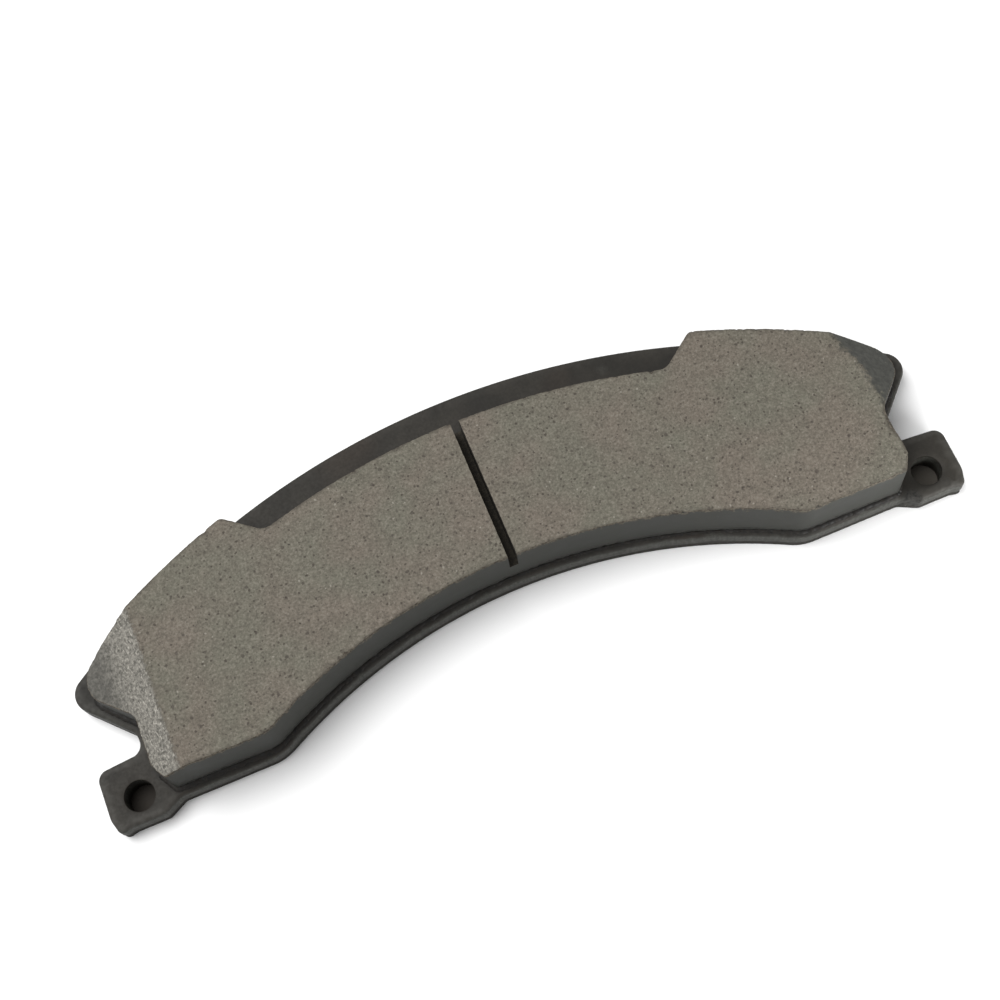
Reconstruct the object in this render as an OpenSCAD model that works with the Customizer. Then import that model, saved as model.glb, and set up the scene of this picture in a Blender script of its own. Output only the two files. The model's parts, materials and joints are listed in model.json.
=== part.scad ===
// Disc brake pad: a blanked steel backing plate with a moulded friction lining
// bonded to it. The pad lies on the plate's back, friction face up.
// Origin: midway between the two ear holes, on the plate's back face.
// +X along the line of the ear holes, +Y away from the wheel's axle,
// +Z towards the brake disc.

/* [Arcs about the wheel's axle] */
// Distance from the line of the ear holes down to the wheel's axle
axle_drop = 136; // [134:0.5:138]
// Radius of the plate's inner edge
plate_inner_r = 150.5; // [150:0.1:151]
// Radius of the plate's outer edge
plate_outer_r = 206.5; // [206:0.1:207]
// Radius of the lining's inner edge
lining_inner_r = 152; // [151.5:0.1:152.5]
// Radius of the lining's outer edge at the two end lobes
lobe_outer_r = 203; // [202.5:0.1:204]
// Radius of the lining's outer edge between the lobes
waist_outer_r = 192.7; // [190:0.1:194]

/* [Thicknesses] */
// Thickness of the steel backing plate
plate_t = 7; // [6:0.1:8]
// Thickness of the cured adhesive film
adhesive_t = 0.2; // [0.1:0.05:0.4]
// Thickness of the underlayer moulded between adhesive and lining
underlayer_t = 2; // [1.5:0.1:3]
// Height of the whole pad, from the back face to the friction face
pad_h = 23; // [20:0.1:25]

/* [Ears] */
// Distance between the centres of the two ear holes
hole_spacing = 220; // [218:0.1:222]
// Diameter of each ear hole
hole_d = 8; // [6:0.1:9]
// Half the length of the plate, at the outer edge of an ear
ear_x = 119; // [118:0.1:120]
// Height of an ear's upper edge at its outer end
ear_top_y = 9.7; // [9:0.1:10]
// Height of an ear's upper edge at the root of the notch
ear_root_y = 10.7; // [10.2:0.1:11]
// Height of an ear's lower edge
ear_bottom_y = -6.9; // [-7.2:0.1:-6.5]
// Height of the plate's straight lower edge between ear and inner arc
plate_foot_y = -4.3; // [-4.6:0.1:-4]
// Radius of an ear's upper outer corner
ear_corner_r = 3; // [1:0.5:4]

/* [Notches and lobe tips] */
// Distance from the centre line to the root of a notch
notch_x = 106; // [105.5:0.1:106.5]
// Height at which the slanted flank meets the root of a notch
flank_y = 15.7; // [15.5:0.1:17]
// Angle of the slanted flank that runs up to the lobe tip
flank_angle = 46; // [44:0.5:48]
// Radius of the notch corner at the ear
notch_ear_r = 3; // [2:0.5:3]
// Radius of the notch corner at the flank
notch_flank_r = 4; // [2:0.5:4]
// Radius of the plate's lobe tip
plate_tip_r = 5.2; // [4:0.1:6]

/* [Lining outline] */
// Height of the lining's straight lower edge
lining_foot_y = -2.6; // [-3:0.1:-2]
// Distance from the lining's middle to its lower corner
lining_corner_x = 100.4; // [99:0.1:101]
// Distance from the lining's middle to its end wall beside the ear
lining_end_x = 103.0; // [102.4:0.1:104]
// Height at which the cut lower corner meets the end wall
lining_cut_y = 2; // [2:0.1:5]
// How far the lining's slanted flank lies inside the plate's
flank_setback = 2.2; // [1.5:0.1:2.5]
// Radius of the lining's lobe tip
lining_tip_r = 7; // [5:0.5:8]
// Distance from the lining's middle to the foot of the step up to a lobe
step_x = 56; // [50:0.1:60]
// Angle of the step up to a lobe
step_angle = 38; // [30:1:50]
// Radius at the foot of the step
step_foot_r = 4; // [2:0.5:5]
// Radius at the top of the step
step_top_r = 2.6; // [1:0.1:4]
// How far the lining sits to the right of the plate's middle
lining_offset_x = 0.1; // [0:0.1:1]
// Small turn of the lining on the plate, as the mould leaves it
lining_turn = -0.24; // [-0.3:0.02:0.3]

/* [Slot and chamfers] */
// Width of the slot across the friction face
slot_w = 2.4; // [2:0.1:4]
// Depth of the slot
slot_depth = 7.8; // [6:0.1:10]
// Distance from the centre line to the ridge of the ground chamfer, at the left end
left_ridge_x = 95.5; // [90:0.5:98]
// Slope of the ground chamfer, at the left end
left_slope = 27.5; // [20:0.5:30]
// Distance from the centre line to the middle of the right chamfer's ridge
right_ridge_x = 101.4; // [99:0.1:103]
// Height of the middle of the right chamfer's ridge
right_ridge_y = 33; // [25:0.5:35]
// Turn of the right chamfer's ridge away from the Y direction
right_ridge_turn = 13; // [10:0.1:25]
// Slope of the right chamfer
right_slope = 36; // [25:0.5:38]

/* [Keying] */
// Diameter of the holes through the plate that lock the underlayer
key_d = 12; // [8:0.5:14]
// Radius from the wheel's axle of the circle that the keying holes lie on
key_circle_r = 178; // [174:0.5:182]
// Angles of the keying holes on each side of the centre line
key_angles = [10, 26]; // [5:1:28]
// How far each key ends short of the plate's back face
key_recess = 0.8; // [0.4:0.1:2]
// Gap between a key and the wall of its hole
key_gap = 0.05; // [0.02:0.01:0.1]

/* [Hidden] */
$fn = 96;
arc_steps = 12;
axle = [0, -axle_drop];
// Size of the solids that cut right through, and how far a cut overshoots a face
big = 300;
eps = 0.5;
arc_fn = 360;
// An ear's lower outer corner hangs a little below its lower edge
ear_nub = [[114.3, ear_bottom_y, 3], [117.6, ear_bottom_y - 0.8, 1.8], [ear_x, -3, 5]];
// The plate's lower edge drops to the ear over a short slant
ear_slant_in = 100.2;
ear_slant_out = 105.4;
ear_slant_r = 3;
// Radii of the lining's corners, from its lower edge up to the flank
lining_corner_r = 1.5;
lining_cut_r = 2.5;
lining_flank_r = 4;
// Radii that lead from the inner arc into the straight lower edge
plate_heel_r = 14;
lining_heel_r = 10;
// A point along the straight lower edge, and a length along the flank
edge_mid_x = 80;
flank_leg = 9;
// Outlines are closed by points well clear of the arcs that trim them
clear_leg = 60;
clear_y = 150;
waist_leg = 30;
waist_clear = [110, 120];
flank_dir = [cos(flank_angle), sin(flank_angle)];
step_dir = [cos(step_angle), sin(step_angle)];
lining_z = plate_t + adhesive_t + underlayer_t;

// ---- Outline geometry: points in the XY plane ----

function unit(v) = v / norm(v);
function turned(v) = [-v.y, v.x];
function mirrored(points) = [for (i = [len(points) - 1:-1:0]) [-points[i].x, points[i].y]];

// Points along the short arc about c, from a to b
function swing(c, a, b) =
    let (start = atan2(a.y - c.y, a.x - c.x))
    let (turn = (atan2(b.y - c.y, b.x - c.x) - start + 540) % 360 - 180)
    [for (i = [0:arc_steps]) c + norm(a - c) * [cos(start + turn * i / arc_steps),
                                                sin(start + turn * i / arc_steps)]];

// Rounded corner at q, on the way from p to s
function corner(p, q, s, r) =
    let (u = unit(p - q), v = unit(s - q), half = acos(u * v) / 2)
    let (c = q + unit(u + v) * r / sin(half))
    swing(c, q + u * r / tan(half), q + v * r / tan(half));

// Rounded corners of an open path of [x, y, r], without its two end points
function rounded(path) =
    let (p = [for (k = path) [k.x, k.y]])
    [for (i = [1:len(path) - 2]) each corner(p[i - 1], p[i], p[i + 1], path[i][2])];

// Centre of an arc that touches the line through p along u, r to its left (or
// to its right if r is negative), and whose distance from the axle is reach
function blend_centre(p, u, r, reach) =
    let (q = p + turned(u) * r - axle, along = q * u)
    q + axle + u * (sqrt(along * along - q * q + reach * reach) - along);

// Point of the circle of radius r about the axle that is nearest to p
function on_circle(p, r) = axle + unit(p - axle) * r;

// Foot of the perpendicular from c to the line through p along u
function foot(c, p, u) = p + u * ((c - p) * u);

// Arc that leads from the circle of radius r about the axle into the level
// line at height y
function heel(y, r, blend) =
    let (c = [sqrt(pow(r + blend, 2) - pow(y + blend + axle_drop, 2)), y + blend])
    swing(c, on_circle(c, r), [c.x, y]);

// Arc round a lobe tip: from the flank through p to the circle of radius r,
// then on along that circle's tangent
function tip(p, r, tip_r) =
    let (c = blend_centre(p, flank_dir, tip_r, r - tip_r), t = on_circle(c, r))
    concat(swing(c, foot(c, p, flank_dir), t), [t + turned(unit(t - axle)) * clear_leg, [0, clear_y]]);

// ---- Outlines ----

module ring_sector(half_outline, outer_r, inner_r) {
    difference() {
        intersection() {
            polygon(concat(half_outline, mirrored(half_outline)));
            translate(axle) circle(r = outer_r, $fn = arc_fn);
        }
        translate(axle) circle(r = inner_r, $fn = arc_fn);
    }
}

module plate_outline() {
    root = [notch_x, flank_y];
    path = concat([[edge_mid_x, plate_foot_y], [ear_slant_in, plate_foot_y, ear_slant_r],
                   [ear_slant_out, ear_bottom_y, ear_slant_r]],
                  ear_nub,
                  [[ear_x, ear_top_y, ear_corner_r], [notch_x, ear_root_y, notch_ear_r],
                   [root.x, root.y, notch_flank_r], root + flank_leg * flank_dir]);
    half = concat(heel(plate_foot_y, plate_inner_r, plate_heel_r), rounded(path),
                  tip(root, plate_outer_r, plate_tip_r));
    ring_sector(half, plate_outer_r, plate_inner_r);
}

// The space cut back from the lining's outer edge between the lobes
module waist_outline() {
    p = [step_x, sqrt(pow(waist_outer_r, 2) - pow(step_x, 2)) - axle_drop];
    foot_c = blend_centre(p, step_dir, step_foot_r, waist_outer_r + step_foot_r);
    top_c = blend_centre(p, step_dir, -step_top_r, lobe_outer_r - step_top_r);
    top_t = on_circle(top_c, lobe_outer_r);
    half = concat(swing(foot_c, on_circle(foot_c, waist_outer_r), foot(foot_c, p, step_dir)),
                  swing(top_c, foot(top_c, p, step_dir), top_t),
                  [top_t - turned(unit(top_t - axle)) * waist_leg, waist_clear]);
    difference() {
        polygon(concat(half, mirrored(half)));
        translate(axle) circle(r = waist_outer_r, $fn = arc_fn);
    }
}

module lining_outline() {
    p = [notch_x, flank_y] + turned(flank_dir) * flank_setback;
    root = p + flank_dir * (lining_end_x - p.x) / flank_dir.x;
    path = [[edge_mid_x, lining_foot_y], [lining_corner_x, lining_foot_y, lining_corner_r],
            [lining_end_x, lining_cut_y, lining_cut_r], [root.x, root.y, lining_flank_r],
            root + flank_leg * flank_dir];
    half = concat(heel(lining_foot_y, lining_inner_r, lining_heel_r), rounded(path),
                  tip(root, lobe_outer_r, lining_tip_r));
    translate([lining_offset_x, 0]) rotate(lining_turn) difference() {
        ring_sector(half, lobe_outer_r, lining_inner_r);
        waist_outline();
    }
}

module key_places() {
    for (angle = key_angles, side = [-1, 1])
        translate([axle.x + side * key_circle_r * sin(angle), axle.y + key_circle_r * cos(angle)])
            children();
}

// Half space above a slope that falls away along +X from the height pad_h
module above_slope(slope) {
    translate([0, 0, pad_h]) rotate([0, slope, 0]) translate([-eps, -big / 2, 0]) cube([big, big, big]);
}

// ---- Parts ----

// Blanked steel plate with two ears, hooked notches and keying holes
module backing_plate() {
    color([0.25, 0.24, 0.23]) difference() {
        linear_extrude(plate_t) plate_outline();
        for (side = [-1, 1])
            translate([side * hole_spacing / 2, 0, -eps]) cylinder(d = hole_d, h = plate_t + 2 * eps);
        translate([0, 0, -eps]) key_places() cylinder(d = key_d, h = plate_t + 2 * eps);
    }
}

// Cured adhesive between the plate and the underlayer
module adhesive_film() {
    color([0.1, 0.08, 0.07]) translate([0, 0, plate_t]) difference() {
        linear_extrude(adhesive_t) lining_outline();
        translate([0, 0, -eps]) key_places() cylinder(d = key_d, h = adhesive_t + 2 * eps);
    }
}

// Tough dark layer moulded under the lining, with keys that fill the plate's holes
module underlayer() {
    color([0.13, 0.13, 0.12]) union() {
        translate([0, 0, plate_t + adhesive_t]) linear_extrude(underlayer_t) lining_outline();
        translate([0, 0, key_recess]) key_places()
            cylinder(d = key_d - 2 * key_gap, h = plate_t + adhesive_t + eps - key_recess);
    }
}

// Moulded friction block with its cross slot and end chamfers
module friction_lining() {
    color([0.47, 0.44, 0.39]) difference() {
        translate([0, 0, lining_z]) linear_extrude(pad_h - lining_z) lining_outline();
        translate([-slot_w / 2, 0, pad_h - slot_depth]) cube([slot_w, big, slot_depth + eps]);
        mirror([1, 0, 0]) translate([left_ridge_x, 0, 0]) above_slope(left_slope);
        translate([right_ridge_x, right_ridge_y, 0])
            rotate([0, 0, right_ridge_turn]) above_slope(right_slope);
    }
}

backing_plate();
adhesive_film();
underlayer();
friction_lining();
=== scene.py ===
# Disc brake pad lying on its steel back with the friction face up: a blanked backing
# plate, adhesive squeezed out round a dark underlayer, and a moulded lining with a
# slot across it and a ground chamfer at each end. Shapes are drawn in mm.
import json
import math

import bmesh
import bpy
import numpy as np
from mathutils import Matrix, Vector, noise
from mathutils.geometry import delaunay_2d_cdt
from mathutils.kdtree import KDTree


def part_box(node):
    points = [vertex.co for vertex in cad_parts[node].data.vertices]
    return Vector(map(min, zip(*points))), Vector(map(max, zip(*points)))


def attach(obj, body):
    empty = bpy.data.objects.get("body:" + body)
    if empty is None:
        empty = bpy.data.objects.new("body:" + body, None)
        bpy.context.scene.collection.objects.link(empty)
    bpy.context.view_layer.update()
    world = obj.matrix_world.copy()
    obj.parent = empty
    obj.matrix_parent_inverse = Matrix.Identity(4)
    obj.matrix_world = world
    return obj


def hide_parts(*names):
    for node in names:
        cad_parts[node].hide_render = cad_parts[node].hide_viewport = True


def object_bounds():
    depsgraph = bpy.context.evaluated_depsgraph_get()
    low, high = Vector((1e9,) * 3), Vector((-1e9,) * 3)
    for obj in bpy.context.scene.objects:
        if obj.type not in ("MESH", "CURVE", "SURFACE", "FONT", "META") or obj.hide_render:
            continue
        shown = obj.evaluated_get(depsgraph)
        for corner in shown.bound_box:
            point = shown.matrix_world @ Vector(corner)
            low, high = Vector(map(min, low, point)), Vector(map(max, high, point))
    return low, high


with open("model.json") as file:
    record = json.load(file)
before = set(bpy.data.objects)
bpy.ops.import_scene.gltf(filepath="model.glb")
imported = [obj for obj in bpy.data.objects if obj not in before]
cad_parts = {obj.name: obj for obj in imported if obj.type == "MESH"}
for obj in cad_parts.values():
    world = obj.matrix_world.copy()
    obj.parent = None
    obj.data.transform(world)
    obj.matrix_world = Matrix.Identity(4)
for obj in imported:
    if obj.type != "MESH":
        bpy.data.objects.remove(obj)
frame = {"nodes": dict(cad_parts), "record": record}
cad_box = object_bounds()

# ---------------------------------------------------------------------------------
# Backing plate: 7 mm steel, blanked in one stroke, so its upper edge is rolled over,
# its wall is smooth and bright for two thirds and torn below, and its ears and
# keying holes are punched with it. It wears a thin dark satin coating.

MM = 0.001
PLATE_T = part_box("backing_plate")[1].z / MM
AXLE = np.array([0.0, -136.0])   # the disc's centre, which the plate's long edges curve round
PLATE_ARCS = (206.47, 150.5)
PLATE_STEP, FLAT_PITCH, HOLE_POINTS = 0.55, 2.2, 72
WELD, LEVEL = 1e-6, 1e-5         # metres: how near two points, or a point and a face, count as one


def cad_outlines(node, z):
    """The closed outlines, in mm, of a CAD node's flat face at height z, the longest first.
    The solid lies to the left of each outline's own direction."""
    bm = bmesh.new()
    bm.from_mesh(frame["nodes"][node].data)
    bmesh.ops.remove_doubles(bm, verts=bm.verts, dist=WELD)
    flat = {f for f in bm.faces if all(abs(v.co.z - z * MM) < LEVEL for v in f.verts)}
    onward = {}
    for edge in bm.edges:
        sides = [f for f in edge.link_faces if f in flat]
        if len(sides) == 1:
            corner = next(c for c in sides[0].loops if c.edge == edge)
            pair = (corner.vert, corner.link_loop_next.vert)
            start, end = pair if sides[0].normal.z > 0 else pair[::-1]
            onward[start] = end
    outlines = []
    while onward:
        start, v = onward.popitem()
        line = [start]
        while v != start:
            line.append(v)
            v = onward.pop(v)
        outlines.append(np.array([[p.co.x, p.co.y] for p in line]) / MM)
    bm.free()
    return sorted(outlines, key=len_round, reverse=True)


def len_round(line):
    return np.linalg.norm(np.roll(line, -1, 0) - line, axis=1).sum()


def fine_steps(line, step, centre, arcs, snap=0.04):
    """The outline with points no further apart than step, put back on the true arcs."""
    out = []
    for a, b in zip(line, np.roll(line, -1, 0)):
        n = max(1, math.ceil(np.linalg.norm(b - a) / step))
        new = np.array([a + (b - a) * i / n for i in range(n)])
        for r in arcs:
            if all(abs(np.linalg.norm(end - centre) - r) < snap for end in (a, b)):
                new = centre + (new - centre) * (r / np.linalg.norm(new - centre, axis=1))[:, None]
        out += list(new)
    return np.array(out)


def true_circle(line, points):
    """A punched hole as a true circle, run clockwise."""
    centre = (line.max(0) + line.min(0)) / 2
    r = np.linalg.norm(line - centre, axis=1).max()
    angle = -np.arange(points) * math.tau / points
    return centre + r * np.c_[np.cos(angle), np.sin(angle)]


def inward(line, sharpest=0.7):
    """Directions into the solid at each point, longer at corners so that an inset stays even."""
    ahead = np.roll(line, -1, 0) - line
    normal = np.c_[-ahead[:, 1], ahead[:, 0]] / np.linalg.norm(ahead, axis=1)[:, None]
    both = normal + np.roll(normal, 1, 0)
    both /= np.linalg.norm(both, axis=1)[:, None]
    return both / np.maximum((both * normal).sum(1), sharpest)[:, None]


def within(points, lines):
    """Which points lie inside the outlines, by counting the edges crossed to the right."""
    inside = np.zeros(len(points), bool)
    for line in lines:
        for (ax, ay), (bx, by) in zip(line, np.roll(line, -1, 0)):
            if ay != by:
                crossing = (points[:, 1] > ay) != (points[:, 1] > by)
                meets = (bx - ax) * (points[:, 1] - ay) / (by - ay) + ax
                inside ^= crossing & (points[:, 0] < meets)
    return inside


def honeycomb(low, high, pitch, row_gap=0.866):
    """Points in staggered rows, pitch apart, over a rectangle."""
    rows = []
    for i, y in enumerate(np.arange(low[1], high[1], pitch * row_gap)):
        xs = np.arange(low[0] + pitch / 2 * (i % 2), high[0], pitch)
        rows.append(np.c_[xs, np.full(len(xs), y)])
    return np.concatenate(rows)


def wobble(x, y, z, size, seed=0):
    """Smooth noise, about -1 to 1, with lumps of that size in mm."""
    p = Vector((x / size + seed * 7.3, y / size - seed * 3.1, z / size + seed * 5.7))
    return noise.fractal(p, 0.9, 2.0, 3, noise_basis="PERLIN_NEW") * 1.3


class Shell:
    """A closed skin built up from rings of points, the bands between them, and caps."""

    def __init__(self):
        self.points, self.faces, self.finish = [], [], []

    def ring(self, xy, z):
        """Adds points at that height, or at those heights, and gives their numbers."""
        z = np.broadcast_to(z, (len(xy),))
        first = len(self.points)
        self.points += [(x, y, h) for (x, y), h in zip(xy, z)]
        return list(range(first, len(self.points)))

    def band(self, low, high, finish=0, closed=True):
        """Four-sided faces from one ring up to the next."""
        for i in range(len(low) if closed else len(low) - 1):
            j = (i + 1) % len(low)
            self.faces.append((low[i], low[j], high[j], high[i]))
            self.finish.append(finish)

    def bands(self, rings, finish=0, closed=True):
        for low, high in zip(rings, rings[1:]):
            self.band(low, high, finish, closed)

    def cap(self, rings, fill, height, up=True, finish=0, clear=0.3):
        """Triangles over the area inside the rings, through the fill points that lie in it."""
        rims = [np.array([self.points[i][:2] for i in ring]) for ring in rings]
        rim = np.concatenate(rims)
        fill = fill[within(fill, rims)]
        near = KDTree(len(rim))
        for i, p in enumerate(rim):
            near.insert((p[0], p[1], 0), i)
        near.balance()
        fill = fill[np.array([near.find((x, y, 0))[2] for x, y in fill]) > clear]
        edges, start = [], 0
        for r in rims:
            edges += [(start + i, start + (i + 1) % len(r)) for i in range(len(r))]
            start += len(r)
        flat = [Vector(p) for p in np.concatenate([rim, fill])]
        made, _, triangles, origin, _, _ = delaunay_2d_cdt(flat, edges, [], 1, WELD)
        made, triangles = np.array(made), np.array(triangles)
        triangles = triangles[~within(made[triangles].mean(1), rims[1:])]
        first = len(self.points)
        self.points += [(x, y, height(x, y)) for x, y in fill]
        index = [i for ring in rings for i in ring] + list(range(first, len(self.points)))
        index = [index[o[0]] for o in origin]
        for a, b, c in triangles:
            corners = (index[a], index[b], index[c])
            if len(set(corners)) == 3:
                self.faces.append(corners if up else corners[::-1])
                self.finish.append(finish)

    def piece(self, name, finishes, sharp=40, marks=()):
        """The Blender object, in metres, with its finishes, point marks and creases."""
        mesh = bpy.data.meshes.new(name)
        mesh.from_pydata([(x * MM, y * MM, z * MM) for x, y, z in self.points], [], self.faces)
        for finish in finishes:
            mesh.materials.append(finish)
        mesh.polygons.foreach_set("material_index", self.finish)
        for mark, values in marks:
            mesh.attributes.new(mark, "FLOAT", "POINT").data.foreach_set("value", values)
        mesh.validate()
        mesh.shade_smooth()
        mesh.set_sharp_from_angle(angle=math.radians(sharp))
        mesh.update()
        obj = bpy.data.objects.new(name, mesh)
        bpy.context.scene.collection.objects.link(obj)
        return obj


# Each ring of a cut edge, from the back up: how far it is inset, how much its torn
# surface may wander, and its height.
BLANKED_EDGE = [(0.22, 0.05, 0.0), (0.10, 0.05, 0.06), (0.04, 0.05, 0.22), (0.06, 0.10, 0.6),
                (0.12, 0.16, 1.1), (0.14, 0.18, 1.6), (0.10, 0.14, 2.1), (0.03, 0.06, 2.5),
                (0.0, 0.02, 2.9), (0.0, 0.02, 3.7), (0.0, 0.02, 4.5), (0.0, 0.02, 5.3),
                (0.02, 0.02, 5.9), (0.10, 0.03, 6.3), (0.26, 0.04, 6.62), (0.52, 0.05, 6.84),
                (0.9, 0.05, 6.95), (1.35, 0.0, 7.0)]
PUNCHED_EDGE = [(0.25, 0.03, 0.0), (0.06, 0.03, 0.1), (0.03, 0.05, 0.8), (0.05, 0.06, 1.8),
                (0.0, 0.02, 2.4), (0.0, 0.01, 4.2), (0.0, 0.01, 6.2), (0.02, 0.02, 6.7),
                (0.09, 0.02, 6.92), (0.24, 0.0, 7.0)]

# A rough burr is left where the right ear was parted, on the slant beside its root
BURR, BURR_REACH = np.array([103.2, -5.7]), 3.4
BURR_FROM, BURR_TO = 1.5, 6.9


def burr_share(x, y):
    """1 at the middle of the burr, 0 at its rim and beyond."""
    return max(0.0, 1 - np.linalg.norm(np.array([x, y]) - BURR) / BURR_REACH)


def burr_depth(x, y, z):
    """How far the burr stands out of the wall, in mm."""
    return burr_share(x, y) ** 0.5 * max(0, 0.3 + 0.6 * wobble(x, y, z, 1.5, 9))


plate = Shell()
plate_lines = cad_outlines("backing_plate", PLATE_T)
plate_lines = [fine_steps(plate_lines[0], PLATE_STEP, AXLE, PLATE_ARCS)] + [
    true_circle(line, HOLE_POINTS) for line in plate_lines[1:]]
lower_rims, upper_rims = [], []
for k, line in enumerate(plate_lines):
    into = inward(line)
    rings = []
    for inset, tear, z in BLANKED_EDGE if k == 0 else PUNCHED_EDGE:
        wander = np.array([abs(wobble(x, y, z * 2.5, 1.6, k)) * tear for x, y in line])
        if BURR_FROM < z < BURR_TO:
            wander -= [burr_depth(x, y, z) for x, y in line]
        rings.append(plate.ring(line + into * (inset + wander)[:, None], z))
    plate.bands(rings)
    lower_rims.append(rings[0])
    upper_rims.append(rings[-1])
plate_low, plate_high = plate_lines[0].min(0), plate_lines[0].max(0)
plate_fill = honeycomb(plate_low, plate_high, FLAT_PITCH)
plate.cap(upper_rims, plate_fill, lambda x, y: PLATE_T)
plate.cap(lower_rims, plate_fill, lambda x, y: 0.0, up=False)


def put(tree, kind, settings=None, **inputs):
    """Adds a shader node. An input is a plain value, or the output socket that feeds it."""
    made = tree.nodes.new("ShaderNode" + kind)
    for name, value in (settings or {}).items():
        setattr(made, name, value)
    for name, value in inputs.items():
        socket = made.inputs[name.replace("_", " ")]
        if isinstance(value, bpy.types.NodeSocket):
            tree.links.new(value, socket)
        else:
            socket.default_value = value
    return made


def calc(tree, operation, a, b):
    """One step of arithmetic on shader values."""
    made = tree.nodes.new("ShaderNodeMath")
    made.operation = operation
    for socket, value in zip(made.inputs, (a, b)):
        if isinstance(value, bpy.types.NodeSocket):
            tree.links.new(value, socket)
        else:
            socket.default_value = value
    return made.outputs[0]


def mixed(tree, share, a, b):
    """Two colours, the second by that share."""
    made = tree.nodes.new("ShaderNodeMix")
    made.data_type = "RGBA"
    factor, first, second = made.inputs[0], made.inputs[6], made.inputs[7]
    for socket, value in zip((factor, first, second), (share, a, b)):
        if isinstance(value, bpy.types.NodeSocket):
            tree.links.new(value, socket)
        else:
            socket.default_value = value if isinstance(value, float) else (*value, 1.0)
    return made.outputs[2]


def spread(tree, value, low, high, to_low=0.0, to_high=1.0, smooth=True):
    """Maps value from low..high to to_low..to_high, and holds it there beyond the ends."""
    made = put(tree, "MapRange", {"interpolation_type": "SMOOTHSTEP" if smooth else "LINEAR"},
               Value=value, From_Min=low, From_Max=high, To_Min=to_low, To_Max=to_high)
    return made.outputs[0]


def mottle(tree, where, size, detail=2.0, harsh=0.5):
    """Noise, 0 to 1, with lumps of about that size in mm."""
    return put(tree, "TexNoise", Vector=where, Scale=0.9 / (size * MM), Detail=detail,
               Roughness=harsh).outputs["Fac"]


def mark_of(tree, name):
    """A piece's own mark, one of those that its points carry."""
    return put(tree, "Attribute", {"attribute_name": name}).outputs["Fac"]


def new_finish(name, roughness, specular):
    """An empty material: its tree, its shader, and the point's place on the piece."""
    made = bpy.data.materials.new(name)
    made.use_nodes = True
    tree = made.node_tree
    shader = tree.nodes["Principled BSDF"]
    shader.inputs["Roughness"].default_value = roughness
    shader.inputs["Specular IOR Level"].default_value = specular
    return made, tree, shader, put(tree, "TexCoord").outputs["Object"]


def wire(tree, shader, colour, roughness, height=None, depth=0.1, strength=1.0):
    """Feeds the shader its colour, its roughness and, that deep in mm, its relief."""
    tree.links.new(colour, shader.inputs["Base Color"])
    tree.links.new(roughness, shader.inputs["Roughness"])
    if height is not None:
        bump = put(tree, "Bump", Strength=strength, Distance=depth * MM, Height=height)
        tree.links.new(bump.outputs[0], shader.inputs["Normal"])


def coated_steel():
    """Dark satin coating: cloudy, faintly brown, worn and painted with a highlight over the rolled
    edge, thin on the sheared and torn wall, painted with shade beside the lining, broken up on the
    burr."""
    made, tree, shader, where = new_finish("coated_steel", 0.55, 0.2)
    cloud = mottle(tree, where, 9, 3)
    grain = mottle(tree, where, 0.6, 3, 0.7)
    colour = mixed(tree, spread(tree, cloud, 0.35, 0.7),
                   (0.0158, 0.0142, 0.0112), (0.0262, 0.0232, 0.0185))
    brown = spread(tree, mottle(tree, where, 24, 1), 0.55, 0.75, 0.0, 0.5)
    colour = mixed(tree, brown, colour, (0.034, 0.0245, 0.0175))
    # Wear and painted highlight: the coating is lighter over the rolled edge, most of all round the
    # ears
    rolled = mark_of(tree, "rolled")
    patchy = spread(tree, mottle(tree, where, 1.2, 3), 0.3, 0.7, 0.35, 1.0)
    wear_and_highlight = calc(tree, "MULTIPLY", rolled, patchy)
    colour = mixed(tree, calc(tree, "MULTIPLY", wear_and_highlight, 0.70), colour, (0.082, 0.079, 0.071))
    torn = mark_of(tree, "torn")
    drawn = put(tree, "Mapping", Vector=where)
    drawn.inputs["Scale"].default_value = (1.0, 1.0, 0.08)
    streak = mottle(tree, drawn.outputs[0], 0.5, 2)
    shorn = mixed(tree, spread(tree, streak, 0.3, 0.7),
                  (0.043, 0.0435, 0.0375), (0.068, 0.068, 0.0595))
    colour = mixed(tree, calc(tree, "MULTIPLY", mark_of(tree, "sheared"), 0.85), colour, shorn)
    colour = mixed(tree, calc(tree, "MULTIPLY", torn, 0.8), colour, (0.032, 0.031, 0.027))
    # Painted shade: near-black on the steel beside the lining, where the lining would shade it
    painted_ledge_shade = calc(tree, "MULTIPLY", mark_of(tree, "painted_ledge_shade"), 0.85)
    colour = mixed(tree, painted_ledge_shade, colour, (0.005, 0.0045, 0.004))
    rough_burr = mixed(tree, spread(tree, grain, 0.35, 0.65),
                       (0.010, 0.010, 0.009), (0.05, 0.048, 0.043))
    burred = spread(tree, mark_of(tree, "burred"), 0.05, 0.5, 0.0, 0.9)
    colour = mixed(tree, burred, colour, rough_burr)
    colour = mixed(tree, spread(tree, grain, 0.3, 0.75, 0.0, 0.35), colour, (0.014, 0.013, 0.012))
    rough = calc(tree, "ADD", spread(tree, grain, 0.2, 0.8, 0.54, 0.70),
                 calc(tree, "MULTIPLY", torn, 0.2))
    height = calc(tree, "ADD", calc(tree, "MULTIPLY", grain, 0.5),
                  calc(tree, "MULTIPLY", cloud, 0.8))
    broken = calc(tree, "MULTIPLY", mottle(tree, where, 0.9, 4, 0.7),
                  calc(tree, "MULTIPLY", torn, 2.0))
    height = calc(tree, "ADD", height, broken)
    wire(tree, shader, colour, rough, height, 0.08, 0.6)
    return made


def between(z, low, high, soft):
    """0 at low and at high and beyond them, 1 from soft inside each."""
    return float(np.clip((z - low) / soft, 0, 1) * np.clip((high - z) / soft, 0, 1))
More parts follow.
